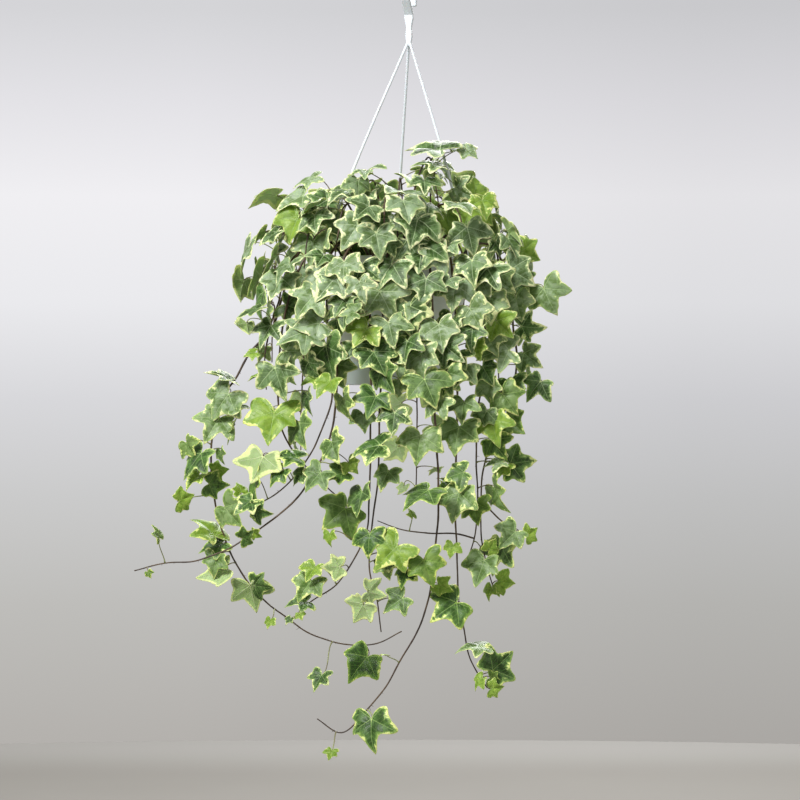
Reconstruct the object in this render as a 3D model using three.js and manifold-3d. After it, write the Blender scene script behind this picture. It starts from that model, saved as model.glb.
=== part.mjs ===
// Potted ivy in a white hanging pot: a moulded three-strand hanger, a pot with a clip-on saucer,
// the soil, and rooted shoots of ivy. Millimetres, +Z up, +Y away from the side that is seen first.
// The origin is the inside top of the hook, where the rail that carries the plant lies.
import * as THREE from 'three';
import { mergeVertices } from 'three/addons/utils/BufferGeometryUtils.js';
import Module from 'manifold-3d';

const wasm = await Module();
wasm.setup();

// ---------- driving dimensions ----------
const GAP = 0.3; // clearance between neighbouring pieces
const ROUND_SIDES = 36; // facets of the turned pieces
const STEM_SIDES = 4;

const POT_X = -14; // the pot hangs a little to the left of the hook
const RIM_Z = -278; // top of the rim
const RIM_RADIUS = 86.5;
const RIM_BAND = 14; // height of the turned-down rim
const WALL = 1.5;
const LIP_OUTSIDE = 79.5; // outer radius of the wall just under the rim
const POT_HEIGHT = 121;
const POT_FOOT_RADIUS = 47;
const SOIL_DEPTH = 12; // from the rim down to the soil
const SHORTEST_EDGE = 0.005;
const EDGE = 0.5; // softened plastic edges

const SAUCER_HEIGHT = 21.5;
const SAUCER_DROP = 4; // saucer's underside below the pot's underside
const SAUCER_TOP_RADIUS = 54;
const SAUCER_FOOT_RADIUS = 49.5;
const RIB_RADIUS = 30; // ring that the pot's floor sits on
const HOLES = 6;
const HOLE_CIRCLE = 22;
const HOLE_RADIUS = 4;
const PEG_RADIUS = 2.6;

const STRAND_RADIUS = 1.3;
const STRAND_CIRCLE = 82.3;
const STRAND_ANGLES = [90, 210, 330];
const STRAND_HOLE_RADIUS = 1.8;
const STRAND_BEAD_RADIUS = 2.2;
const APEX_Z = -58; // where the strands leave the shank
const HOOK_RADIUS = 11; // inside radius of the hook
const HOOK_THICKNESS = 3.4;
const HOOK_WIDTH = 8.5;
const HOOK_TURN = 16; // degrees that the hook is turned about Z

const LEAF_THICKNESS = 1.1;
const PETIOLE_RADIUS = 0.95;
const PETIOLE_START = 7; // triangles of the petiole's end and first piece
const STEM_STEP = 30; // length of a stem's straight pieces
const STEM_RADIUS = 1.5;
const BRANCH_RADIUS = 1.25;
const ROOT_DEPTH = 12; // how far each cutting goes into the soil
const TRIES = 60; // places tried for one leaf before it is left out

// A leaf with a central lobe of length 1: basal and lateral lobe tips and the bay beside the central
// lobe, from the right basal lobe round to the left one. The petiole joins it at (0, 0).
const RIGHT_HALF = [[0.52, -0.35], [0.80, 0.42], [0.36, 0.49]];
const OUTLINE = [...RIGHT_HALF, [0, 1], ...RIGHT_HALF.map(([x, y]) => [-x, y]).reverse()];
const LEAF_MIDDLE = [0, 0.2];
const DROOP = 0.22; // how far the blade falls away from its middle

// ---------- small helpers ----------
const vector = (x, y, z) => new THREE.Vector3(x, y, z);
const radians = THREE.MathUtils.degToRad;
const UP = vector(0, 0, 1);
const soilZ = RIM_Z - SOIL_DEPTH;

// The same stream of numbers from 0 to 1 for the same seed.
function randomStream(seed) {
  let state = seed * 2654435761 >>> 0;
  return () => {
    state = state + 0x6d2b79f5 >>> 0;
    let mixed = Math.imul(state ^ state >>> 15, 1 | state);
    mixed = mixed + Math.imul(mixed ^ mixed >>> 7, 61 | mixed) ^ mixed;
    return ((mixed ^ mixed >>> 14) >>> 0) / 4294967296;
  };
}

// Positions only, shared vertices joined, and the flat slivers at a turned piece's axis dropped.
function welded(geometry) {
  const bare = geometry.clone();
  bare.deleteAttribute('normal');
  bare.deleteAttribute('uv');
  const joined = mergeVertices(bare, 1e-4);
  const corners = joined.index.array;
  const kept = [];
  for (let i = 0; i < corners.length; i += 3) {
    const [a, b, c] = corners.slice(i, i + 3);
    if (a !== b && b !== c && c !== a) kept.push(a, b, c);
  }
  joined.setIndex(kept);
  return joined;
}

function signedVolume(geometry) {
  const at = (i) => new THREE.Vector3().fromBufferAttribute(geometry.attributes.position, i);
  const corners = geometry.index.array;
  let total = 0;
  for (let i = 0; i < corners.length; i += 3) {
    total += at(corners[i]).dot(at(corners[i + 1]).cross(at(corners[i + 2]))) / 6;
  }
  return total;
}

function solid(geometry) {
  const joined = welded(geometry);
  const triVerts = new Uint32Array(joined.index.array);
  if (signedVolume(joined) < 0) triVerts.reverse();
  const vertProperties = new Float32Array(joined.attributes.position.array);
  return new wasm.Manifold(new wasm.Mesh({ numProp: 3, vertProperties, triVerts }));
}

function geometryOf(made) {
  const { numProp, vertProperties, triVerts } = made.getMesh();
  const positions = [];
  for (let i = 0; i < vertProperties.length; i += numProp) {
    positions.push(...vertProperties.slice(i, i + 3));
  }
  const geometry = new THREE.BufferGeometry();
  geometry.setAttribute('position', new THREE.Float32BufferAttribute(positions, 3));
  geometry.setIndex([...triVerts]);
  return geometry;
}

function named(name, made, material) {
  const mesh = new THREE.Mesh(geometryOf(made.simplify(SHORTEST_EDGE)), material);
  mesh.name = name;
  return mesh;
}

// A solid of revolution about Z from [radius, height] points.
function turned(profile, sides = ROUND_SIDES) {
  const points = profile.map(([radius, height]) => new THREE.Vector2(radius, height));
  return solid(new THREE.LatheGeometry(points, sides).rotateX(Math.PI / 2));
}

function cylinder(radius, height, x, y, z, sides = 12) {
  return solid(new THREE.CylinderGeometry(radius, radius, height, sides)
    .rotateX(Math.PI / 2).translate(x, y, z));
}

// A round bar along a smooth curve through the points.
function rod(points, radius, sides, steps) {
  const section = new THREE.Shape();
  for (let i = 0; i < sides; i += 1) {
    const angle = 2 * Math.PI * i / sides;
    const [x, y] = [radius * Math.cos(angle), radius * Math.sin(angle)];
    if (i === 0) section.moveTo(x, y);
    else section.lineTo(x, y);
  }
  const extrudePath = new THREE.CatmullRomCurve3(points, false, 'centripetal');
  return new THREE.ExtrudeGeometry(section, { steps, extrudePath, bevelEnabled: false });
}

function around(count, circle, start = 0) {
  return Array.from({ length: count }, (_, i) => {
    const angle = start + 2 * Math.PI * i / count;
    return [circle * Math.cos(angle), circle * Math.sin(angle)];
  });
}

const material = (color, roughness) => (
  new THREE.MeshStandardMaterial({ color, roughness, metalness: 0 }));
const WHITE_PLASTIC = material(0xe4e8e4, 0.4);
const POT_PLASTIC = material(0xd0dac9, 0.45);
const SAUCER_PLASTIC = material(0xc1ccc4, 0.4);
const SOIL = material(0x35281d, 0.95);
const LEAVES = material(0x5d7f3c, 0.5);

// ---------- pot, saucer and soil, in the pot's own frame: axis at x = 0, rim top at z = 0 ----------
const strandPoints = STRAND_ANGLES.map((angle) => [
  STRAND_CIRCLE * Math.cos(radians(angle)), STRAND_CIRCLE * Math.sin(radians(angle))]);

// The wall's outer radius at a height below the rim.
function wallRadius(z) {
  return LIP_OUTSIDE + (POT_FOOT_RADIUS - LIP_OUTSIDE) * -z / POT_HEIGHT;
}

function potBody() {
  const shell = turned([
    [0, -POT_HEIGHT], [POT_FOOT_RADIUS - EDGE, -POT_HEIGHT], [POT_FOOT_RADIUS, -POT_HEIGHT + EDGE],
    [LIP_OUTSIDE, -WALL], [RIM_RADIUS - WALL, -WALL], [RIM_RADIUS - WALL, -RIM_BAND],
    [RIM_RADIUS - EDGE, -RIM_BAND], [RIM_RADIUS, -RIM_BAND + EDGE], [RIM_RADIUS, -EDGE],
    [RIM_RADIUS - EDGE, 0], [LIP_OUTSIDE - WALL + EDGE, 0], [LIP_OUTSIDE - WALL, -EDGE],
    [POT_FOOT_RADIUS - WALL, -POT_HEIGHT + WALL], [0, -POT_HEIGHT + WALL]]);
  const drains = around(HOLES, HOLE_CIRCLE)
    .map(([x, y]) => cylinder(HOLE_RADIUS, 3 * WALL, x, y, -POT_HEIGHT + WALL / 2, 8));
  const strandHoles = strandPoints
    .map(([x, y]) => cylinder(STRAND_HOLE_RADIUS, 3 * WALL, x, y, -WALL / 2, 8));
  return [...drains, ...strandHoles].reduce((pot, hole) => pot.subtract(hole), shell);
}

function saucerBody() {
  const foot = -POT_HEIGHT - SAUCER_DROP;
  const floor = foot + WALL;
  const top = foot + SAUCER_HEIGHT;
  const rib = -POT_HEIGHT - GAP;
  const dish = turned([
    [0, foot], [SAUCER_FOOT_RADIUS - EDGE, foot], [SAUCER_FOOT_RADIUS, foot + EDGE],
    [SAUCER_TOP_RADIUS, top - EDGE], [SAUCER_TOP_RADIUS - EDGE, top],
    [SAUCER_TOP_RADIUS - WALL, top], [SAUCER_FOOT_RADIUS - WALL, floor],
    [RIB_RADIUS + WALL, floor], [RIB_RADIUS + WALL, rib], [RIB_RADIUS, rib],
    [RIB_RADIUS, floor], [0, floor]]);
  // Pegs with a swollen head snap through every second drainage hole.
  const head = -POT_HEIGHT + WALL + GAP;
  const peg = turned([
    [0, foot + WALL / 2], [PEG_RADIUS, foot + WALL / 2], [PEG_RADIUS, head],
    [HOLE_RADIUS + EDGE, head], [PEG_RADIUS, head + 2 * WALL], [0, head + 2 * WALL]], 8);
  return around(HOLES / 2, HOLE_CIRCLE).reduce((dishAndPegs, [x, y]) => (
    dishAndPegs.add(peg.translate([x, y, 0]))), dish);
}

// The soil stays clear of the pot wall, of the peg heads and of each rooted cutting.
function soilBody(rootPlaces) {
  const floor = -POT_HEIGHT + WALL + GAP;
  const inner = (z) => (wallRadius(z) - WALL) * Math.cos(Math.PI / ROUND_SIDES) - GAP;
  const mound = turned([
    [0, floor], [inner(-POT_HEIGHT), floor], [inner(-SOIL_DEPTH - 2), -SOIL_DEPTH - 2],
    [inner(-SOIL_DEPTH) - 12, -SOIL_DEPTH], [0, -SOIL_DEPTH + 1.5]], 20);
  const pegPits = around(HOLES / 2, HOLE_CIRCLE)
    .map(([x, y]) => cylinder(HOLE_RADIUS + 2 * EDGE, 8 * WALL, x, y, floor, 8));
  const rootPits = rootPlaces.map(([x, y]) => (
    cylinder(STEM_RADIUS + 2 * GAP, 2 * (ROOT_DEPTH + 1), x - POT_X, y, -SOIL_DEPTH, 6)));
  return [...pegPits, ...rootPits].reduce((soil, pit) => soil.subtract(pit), mound);
}

// ---------- hanger: hook, shank and three strands moulded as one ----------
// Seen from the side the hook is a bent strip; seen from the front it is a tapering blade. The piece
// is what the two outlines have in common.
function hookBody() {
  const middle = HOOK_RADIUS + HOOK_THICKNESS / 2;
  const centre = new THREE.Vector2(0, -HOOK_RADIUS);
  const line = [new THREE.Vector2(middle - 0.6, -22.5), new THREE.Vector2(middle, -16)];
  for (let angle = 0; angle <= 180; angle += 22.5) {
    line.push(new THREE.Vector2(
      centre.x + middle * Math.cos(radians(angle)), centre.y + middle * Math.sin(radians(angle))));
  }
  line.push(new THREE.Vector2(-0.95 * middle, -19), new THREE.Vector2(-0.45 * middle, -26));
  line.push(new THREE.Vector2(0, -33), new THREE.Vector2(0, APEX_Z - 6));
  const sides = [1, -1].map((sign) => line.map((point, i) => {
    const ahead = line[Math.min(i + 1, line.length - 1)];
    const along = ahead.clone().sub(line[Math.max(i - 1, 0)]).normalize();
    return point.clone().add(
      new THREE.Vector2(-along.y, along.x).multiplyScalar(sign * HOOK_THICKNESS / 2));
  }));
  const sideShape = new THREE.Shape([...sides[0], ...sides[1].reverse()]);
  const strip = solid(new THREE.ExtrudeGeometry(sideShape, { depth: HOOK_WIDTH, bevelEnabled: false })
    .translate(0, 0, -HOOK_WIDTH / 2).rotateX(Math.PI / 2));
  // Half widths of the blade down its length: broad shank, waist, nub and stem.
  const half = HOOK_WIDTH / 2;
  const widths = [[half, 6], [half, -37], [2.6, -45], [2.5, -48], [3.1, -51], [3.1, -55],
    [2.2, -61], [2.0, -66]];
  const frontShape = new THREE.Shape([
    ...widths.map(([x, z]) => new THREE.Vector2(x, z)),
    ...widths.map(([x, z]) => new THREE.Vector2(-x, z)).reverse()]);
  const blade = solid(new THREE.ExtrudeGeometry(frontShape, { depth: 60, bevelEnabled: false })
    .translate(0, 0, -30).rotateX(Math.PI / 2).rotateZ(Math.PI / 2));
  // A strip along Y would open sideways, so the whole hook is turned to face the room.
  return strip.intersect(blade).rotate([0, 0, 90 - HOOK_TURN]);
}

function hangerBody() {
  const strands = strandPoints.map(([x, y]) => {
    const foot = vector(POT_X + x, y, RIM_Z - WALL - STRAND_BEAD_RADIUS);
    const hole = vector(POT_X + x, y, RIM_Z + 6);
    const apex = vector(0, 0, APEX_Z);
    const belly = apex.clone().lerp(hole, 0.6).add(vector(x, y, 0).setLength(3));
    const strand = solid(rod([apex, belly, hole], STRAND_RADIUS, 6, 8))
      .add(cylinder(STRAND_RADIUS, hole.z - foot.z, foot.x, foot.y, (hole.z + foot.z) / 2, 6));
    const bead = solid(new THREE.SphereGeometry(STRAND_BEAD_RADIUS, 6, 4)
      .translate(foot.x, foot.y, foot.z - GAP));
    return strand.add(bead);
  });
  return strands.reduce((hanger, strand) => hanger.add(strand), hookBody());
}

// ---------- the ivy ----------
// Each shoot is one rooted cutting. A hand-laid shoot gives its route as [x, y, depth] points, from
// the soil outwards, where depth is measured down from the hook, and its leaves as
// [x, depth, central lobe length, way its tip points, turn about its midrib], angles in degrees
// anticlockwise as seen from the front. Branches are routes that start on the shoot.
const SHOOTS = [
  { name: 'shoot_left_long',
    route: [[-62, -18, 290], [-84, -28, 258], [-112, -38, 278], [-128, -46, 330], [-141, -47, 358],
      [-155, -46, 370], [-165, -45, 382], [-171, -43, 398], [-184, -41, 413], [-193, -40, 445],
      [-195, -40, 475], [-192, -38, 513], [-181, -34, 556], [-171, -32, 579], [-156, -30, 602],
      [-143, -28, 616], [-118, -25, 636], [-90, -22, 653], [-56, -20, 661], [-29, -18, 659],
      [-7, -15, 648]],
    leaves: [[-176, 398, 26, 150, 40], [-176, 412, 32, 262, 35], [-186, 436, 30, 250, 15],
      [-168, 424, 25, 200, 55], [-172, 442, 22, 272, 70], [-218, 460, 20, 285, 55],
      [-203, 470, 32, 245, 45], [-184, 468, 14, 280, 50], [-191, 488, 15, 5, 30],
      [-206, 492, 20, 205, 40], [-196, 500, 20, 345, 35], [-226, 517, 17, 25, 30],
      [-191, 552, 31, 98, 60], [-108, 238, 30, 262, 10], [-94, 262, 30, 250, 15],
      [-184, 560, 28, 182, 25], [-190, 572, 24, 285, 50], [-182, 584, 30, 205, 200],
      [-156, 600, 28, 285, 195], [-152, 600, 19, 355, 45],
      [-86, 689, 19, 265, 30], [-41, 671, 32, 237, 8], [-136, 634, 10, 250, 30]] },
  { name: 'shoot_left_front',
    route: [[-50, -34, 290], [-66, -54, 262], [-78, -74, 285], [-79, -80, 348], [-75, -80, 400],
      [-75, -80, 417], [-79, -80, 434], [-90, -80, 458], [-98, -79, 475], [-110, -78, 491],
      [-131, -77, 510], [-144, -76, 520], [-160, -75, 524]],
    leaves: [[-98, 352, 32, 188, 15], [-108, 474, 27, 172, 45], [-122, 486, 20, 250, 30],
      [-148, 496, 26, 272, 75], [-150, 514, 26, 185, 40], [-178, 523, 30, 312, 40],
      [-162, 509, 14, 100, 30], [-148, 524, 18, 330, 40], [-139, 474, 38, 245, 195],
      [-80, 366, 38, 300, 50], [-92, 318, 30, 250, 20], [-84, 300, 30, 215, 20],
      [-70, 340, 26, 330, 30], [-86, 344, 28, 200, 25], [-72, 384, 26, 300, 20],
      [-84, 400, 24, 220, 30]] },
  { name: 'shoot_left_sweep',
    route: [[-36, -44, 290], [-50, -64, 262], [-64, -86, 286], [-69, -90, 348], [-70, -90, 403],
      [-72, -90, 431], [-79, -89, 462], [-93, -89, 489], [-110, -88, 515], [-128, -88, 530],
      [-152, -87, 548], [-176, -86, 562], [-193, -85, 569], [-210, -84, 574], [-243, -82, 576],
      [-257, -81, 579], [-266, -80, 583]],
    leaves: [[-74, 458, 26, 290, 60], [-64, 488, 20, 192, 20], [-85, 488, 24, 205, 35],
      [-58, 478, 14, 318, 20], [-160, 550, 14, 20, 40], [-241, 550, 14, 98, 60],
      [-150, 545, 10, 340, 50], [-252, 584, 7, 300, 30], [-101, 486, 20, 235, 50],
      [-50, 340, 26, 285, 30], [-52, 364, 24, 300, 15], [-70, 300, 32, 262, 15],
      [-64, 322, 24, 230, 35], [-62, 286, 28, 300, 15], [-76, 400, 22, 240, 30]] },
  { name: 'shoot_left_cross',
    route: [[-56, -27, 290], [-76, -45, 260], [-104, -56, 284], [-120, -62, 330], [-128, -64, 400],
      [-123, -66, 450], [-112, -66, 470], [-97, -67, 484], [-81, -67, 503], [-63, -68, 518]],
    leaves: [[-131, 429, 36, 258, 10], [-130, 386, 36, 300, 25], [-98, 413, 22, 275, 70],
      [-106, 440, 30, 288, 60], [-62, 523, 31, 226, 8], [-98, 381, 24, 305, 45],
      [-124, 300, 28, 230, 25], [-134, 346, 26, 210, 30], [-120, 370, 24, 330, 30],
      [-124, 412, 26, 320, 30]] },
  { name: 'shoot_left_drop',
    route: [[-70, 10, 290], [-96, -2, 260], [-122, -24, 292], [-131, -60, 338], [-139, -66, 355],
      [-140, -67, 370], [-141, -67, 390], [-139, -66, 408]],
    leaves: [[-142, 312, 31, 275, 60], [-121, 325, 24, 352, 25], [-110, 293, 27, 266, 5],
      [-104, 246, 32, 128, 20], [-130, 268, 24, 262, 55], [-150, 372, 12, 200, 40],
      [-146, 395, 14, 220, 40], [-136, 360, 24, 330, 50], [-146, 330, 24, 220, 40],
      [-132, 300, 26, 300, 30]] },
  { name: 'shoot_middle_left',
    route: [[-24, -54, 290], [-31, -76, 262], [-37, -94, 292], [-37, -97, 420], [-38, -97, 498],
      [-41, -97, 545], [-49, -96, 563], [-58, -96, 579], [-68, -95, 593], [-83, -95, 605],
      [-97, -94, 614], [-108, -94, 623], [-116, -94, 632]],
    leaves: [[-45, 506, 28, 275, 60], [-76, 546, 13, 272, 40], [-94, 591, 25, 225, 30],
      [-90, 577, 18, 255, 20], [-99, 611, 21, 175, 50], [-66, 577, 20, 195, 190],
      [-114, 627, 8, 250, 20], [-105, 622, 8, 290, 20], [-38, 546, 24, 285, 30],
      [-63, 416, 27, 300, 65], [-28, 314, 34, 275, 10], [-22, 342, 28, 255, 25],
      [-26, 390, 28, 300, 40], [-32, 414, 26, 250, 15], [-44, 432, 18, 270, 30],
      [-46, 288, 30, 245, 20], [-52, 390, 18, 230, 40], [-44, 318, 28, 200, 25],
      [-50, 336, 22, 170, 30], [-40, 350, 26, 215, 20], [-34, 372, 28, 310, 15]] },
  { name: 'shoot_middle_twin',
    route: [[-10, -50, 290], [-16, -80, 258], [-23, -102, 292], [-28, -106, 420], [-31, -106, 502],
      [-37, -106, 545], [-38, -106, 580], [-34, -105, 600], [-28, -104, 622], [-27, -104, 640]],
    leaves: [[-20, 486, 22, 250, 10], [-12, 557, 32, 205, 15], [-44, 612, 24, 255, 190],
      [-40, 600, 21, 0, 195], [-6, 607, 24, 215, 5], [-20, 566, 22, 315, 20],
      [-28, 461, 36, 192, 35], [-22, 572, 20, 262, 25], [0, 328, 34, 290, 15],
      [-16, 288, 32, 265, 10], [-2, 362, 24, 250, 30], [-14, 430, 24, 285, 20],
      [-4, 262, 32, 270, 5], [-24, 300, 28, 235, 15], [-12, 316, 26, 320, 20],
      [-20, 344, 28, 285, 25], [-16, 376, 26, 240, 30], [-10, 398, 24, 310, 20]] },
  { name: 'shoot_bottom',
    route: [[8, -54, 290], [14, -80, 262], [20, -100, 292], [24, -104, 420], [28, -105, 520],
      [22, -105, 585], [16, -104, 618], [11, -104, 634], [2, -104, 650], [-9, -103, 668],
      [-23, -103, 693], [-38, -102, 713], [-48, -102, 722], [-66, -101, 738], [-73, -101, 739],
      [-82, -100, 732], [-89, -100, 724]],
    leaves: [[-36, 722, 32, 275, 35], [-74, 752, 10, 262, 20], [-22, 662, 8, 182, 70],
      [14, 570, 28, 282, 15], [-2, 580, 20, 235, 20], [28, 594, 16, 330, 30], [18, 504, 34, 207, 50],
      [11, 452, 30, 275, 5], [12, 374, 28, 262, 25], [14, 398, 32, 275, 10],
      [36, 392, 24, 290, 20], [16, 302, 30, 280, 15], [30, 418, 24, 255, 30],
      [28, 346, 30, 262, 10], [8, 322, 28, 235, 15], [30, 322, 26, 310, 20],
      [10, 350, 30, 240, 20], [34, 366, 26, 300, 25], [24, 276, 28, 285, 10]] },
  { name: 'shoot_middle_right',
    route: [[26, -46, 290], [34, -72, 260], [41, -92, 292], [46, -95, 400], [44, -95, 519],
      [45, -95, 553], [47, -94, 589], [48, -94, 618], [53, -93, 641], [58, -92, 666],
      [68, -92, 682], [75, -91, 695]],
    leaves: [[45, 612, 31, 212, 8], [70, 654, 27, 185, 50], [80, 677, 28, 48, 15],
      [78, 694, 13, 0, 20], [70, 685, 14, 255, 50], [78, 684, 11, 330, 40], [42, 557, 14, 270, 30],
      [48, 506, 31, 275, 35], [52, 487, 22, 178, 15], [48, 444, 30, 280, 15],
      [40, 504, 27, 142, 45], [38, 512, 25, 252, 40], [44, 308, 28, 280, 20],
      [58, 330, 26, 300, 20], [60, 350, 26, 255, 30], [64, 366, 16, 290, 30],
      [52, 420, 24, 275, 20], [60, 284, 28, 285, 15], [52, 386, 26, 262, 15],
      [56, 250, 30, 275, 10], [38, 268, 26, 240, 20], [36, 300, 26, 215, 25],
      [50, 308, 24, 330, 25], [40, 340, 26, 230, 20], [46, 372, 26, 250, 15],
      [36, 396, 24, 280, 30]] },
  { name: 'shoot_right_fan',
    route: [[40, -32, 290], [54, -54, 258], [68, -74, 290], [73, -78, 400], [66, -79, 430],
      [65, -80, 470], [66, -80, 509], [64, -80, 545], [60, -79, 560], [56, -78, 576]],
    branches: [
      [[65, -80, 532], [50, -79, 546], [39, -79, 548], [16, -79, 547], [-9, -79, 543],
        [-20, -79, 539], [-31, -79, 535]],
      [[66, -80, 512], [84, -79, 530], [96, -78, 540], [109, -78, 546], [120, -77, 554]]],
    leaves: [[64, 518, 22, 290, 20], [102, 545, 24, 250, 20], [114, 549, 13, 30, 40],
      [81, 503, 32, 275, 65], [72, 572, 28, 232, 20], [80, 437, 28, 285, 20],
      [80, 457, 24, 318, 30], [90, 478, 20, 200, 40], [76, 562, 14, 40, 30],
      [3, 530, 10, 90, 50], [78, 360, 20, 280, 30], [96, 370, 34, 225, 20],
      [77, 402, 22, 270, 20], [90, 412, 26, 300, 25], [74, 428, 22, 250, 30],
      [78, 320, 28, 280, 15], [84, 342, 24, 315, 25], [68, 300, 26, 240, 20],
      [84, 300, 24, 320, 25], [70, 384, 26, 300, 20]] },
  { name: 'shoot_right_drop',
    route: [[46, -10, 290], [72, -24, 258], [94, -42, 290], [103, -50, 355], [106, -52, 384],
      [101, -54, 409], [84, -58, 450], [75, -60, 470], [70, -62, 510], [70, -63, 545],
      [72, -63, 565], [78, -63, 586], [82, -62, 604]],
    leaves: [[98, 480, 27, 350, 12], [90, 560, 31, 265, 55], [87, 594, 17, 355, 35],
      [80, 600, 14, 260, 40], [86, 602, 12, 310, 30], [92, 482, 18, 262, 30],
      [128, 400, 24, 235, 20], [131, 309, 30, 297, 12], [110, 346, 25, 350, 35],
      [98, 402, 26, 268, 30], [98, 268, 16, 95, 40], [110, 272, 22, 350, 30],
      [104, 318, 26, 285, 20], [108, 300, 24, 320, 30], [96, 330, 26, 240, 25],
      [112, 372, 24, 330, 40], [96, 436, 24, 300, 30]] },
  { name: 'shoot_crown_right',
    route: [[16, -14, 290], [20, -22, 244], [22, -32, 206], [26, -44, 186]],
    leaves: [[64, 214, 24, 50, 50], [30, 174, 42, 206, 46], [28, 190, 32, 165, 50],
      [16, 212, 26, 340, 10], [46, 210, 24, 320, 40], [8, 236, 30, 262, 10],
      [36, 236, 28, 285, 10]] },
  { name: 'shoot_crown_left',
    route: [[-26, -16, 290], [-34, -28, 246], [-44, -44, 222], [-54, -58, 216]],
    leaves: [[-36, 218, 26, 250, 20], [-60, 214, 28, 200, 35], [-30, 240, 30, 270, 10],
      [-66, 240, 30, 255, 15], [-52, 258, 32, 272, 10], [-82, 226, 26, 170, 30]] },
];

// Free shoots fill the sides, the back and the crown: [angle round the pot, root's distance from the
// axis, height above the rim, how far out it arches, length that hangs outside the pot].
const FREE_SHOOTS = [
  [5, 52, 32, 112, 60], [28, 50, 40, 116, 160], [52, 54, 30, 112, 90], [74, 50, 36, 118, 240],
  [97, 54, 34, 110, 120], [118, 50, 44, 118, 60], [140, 54, 34, 114, 200], [163, 50, 46, 122, 110],
  [186, 46, 52, 116, 40], [340, 44, 44, 104, 40], [312, 40, 58, 96, 30], [286, 38, 62, 92, 24],
  [262, 36, 70, 92, 20], [238, 40, 60, 96, 30], [212, 38, 66, 104, 24], [40, 30, 74, 72, 0],
  [128, 28, 78, 74, 0], [80, 12, 92, 52, 0], [320, 16, 100, 60, 0], [230, 14, 84, 58, 0],
];
const LEAN = 0.9; // how far laid leaves' tips lean towards or away from the front
const FREE_LEAF_SPACING = 23;
const FACE_SPREAD = 1.5; // how far free leaves turn off facing outward
const TIP_SPREAD = 1.3; // and how far their tips turn off hanging down
const CROWN_REACH = 110; // free leaves grow on this much of a hand-laid shoot
const FIRST_FREE_LEAF = 34; // this far up the shoot from its root
const FREE_LEAF_LENGTH = [22, 14]; // the least, and how much more it can be
const FREE_PETIOLE = [12, 24]; // the least, and how much more it can be
const LONG_PETIOLE = 36; // from here on a petiole bends in three pieces
const MIDDLE_PETIOLE = 20; // and from here on in two
const PETIOLE_ARCH = 0.7; // how far it comes up behind the blade
const PETIOLE_TAPER = 0.25;
const PETIOLE_RISE = 0.6; // how far a petiole leaves its stem upward
const LEAF_STANDOFF = [6, 14]; // a laid leaf stands this far in front of its stem
// How far a laid leaf may move, in mm, and turn, in degrees, before it is given up.
const LOOSE_DEPTH = 50;
const LOOSE_SHIFT = 8;
const LOOSE_WAY = 50;
const LOOSE_TURN = 40;
const LOOSE_SHRINK = 0.25;
const SAG_STEP = 45; // between the points of a free shoot's hanging part

// Directions of a leaf: face is its upper side, along runs from the petiole to the central tip.
function pose(joint, along, face, length) {
  const up = face.clone().normalize();
  const forward = along.clone().addScaledVector(up, -along.dot(up)).normalize();
  return { joint, length, face: up, along: forward, across: forward.clone().cross(up) };
}

// One closed body: a thin blade that falls away from its middle, on a three-sided petiole.
function leafGeometry(leaf, start, startWay, grow = 0) {
  const { joint, along, across, face, length } = leaf;
  const place = ([x, y], lift) => joint.clone()
    .addScaledVector(across, x * length).addScaledVector(along, y * length)
    .addScaledVector(face, lift - DROOP * length * (x * x + 0.5 * y * y));
  const half = LEAF_THICKNESS / 2 + grow;
  const points = [place(LEAF_MIDDLE, half), place(LEAF_MIDDLE, -half),
    ...OUTLINE.map((spot) => place(spot, 0))];
  const first = 2;
  const last = points.length - 1;

  const span = joint.distanceTo(start);
  const arrive = along.clone().addScaledVector(face, PETIOLE_ARCH).normalize();
  const path = new THREE.CubicBezierCurve3(start, start.clone().addScaledVector(startWay, span / 3),
    joint.clone().addScaledVector(arrive, -span / 3), joint);
  const steps = 1 + (span > MIDDLE_PETIOLE) + (span > LONG_PETIOLE);
  const faces = [];
  for (let i = 0; i <= steps; i += 1) {
    const way = i === steps ? along : path.getTangent(i / steps);
    const up = face.clone().sub(along);
    up.addScaledVector(way, -up.dot(way)).normalize();
    const side = way.clone().cross(up);
    const radius = PETIOLE_RADIUS * (1 - PETIOLE_TAPER * i / steps) + grow;
    const centre = path.getPoint(i / steps);
    points.push(centre.clone().addScaledVector(up, radius));
    points.push(centre.clone().addScaledVector(up, -radius / 2).addScaledVector(side, -radius));
    points.push(centre.clone().addScaledVector(up, -radius / 2).addScaledVector(side, radius));
    const [top, left, right] = [last + 1 + 3 * i, last + 2 + 3 * i, last + 3 + 3 * i];
    if (i === 0) {
      faces.push(top, left, right);
      continue;
    }
    const ring = [top, left, right];
    for (let k = 0; k < 3; k += 1) {
      const [here, next] = [ring[k], ring[(k + 1) % 3]];
      faces.push(here, next, next - 3, here, next - 3, here - 3);
    }
    if (i === steps) {
      const rim = [...Array.from({ length: last - first + 1 }, (_, k) => first + k)];
      const above = [...rim, left, top, right, first];
      const below = [...rim, left, right, first];
      for (let k = 0; k + 1 < above.length; k += 1) faces.push(0, above[k], above[k + 1]);
      for (let k = 0; k + 1 < below.length; k += 1) faces.push(1, below[k + 1], below[k]);
    }
  }
  const geometry = new THREE.BufferGeometry().setFromPoints(points);
  geometry.setIndex(faces);
  return geometry;
}

// ---------- keeping pieces clear of each other ----------
function trianglesOf(geometry, owner = null) {
  const position = geometry.attributes.position;
  const corners = geometry.index ? geometry.index.array : position.array.map((_, i) => i);
  const count = geometry.index ? corners.length : position.count;
  const found = [];
  for (let i = 0; i < count; i += 3) {
    const ends = [0, 1, 2].map((k) => (
      new THREE.Vector3().fromBufferAttribute(position, corners[i + k])));
    found.push({ ends, owner, box: new THREE.Box3().setFromPoints(ends) });
  }
  return found;
}

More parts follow.
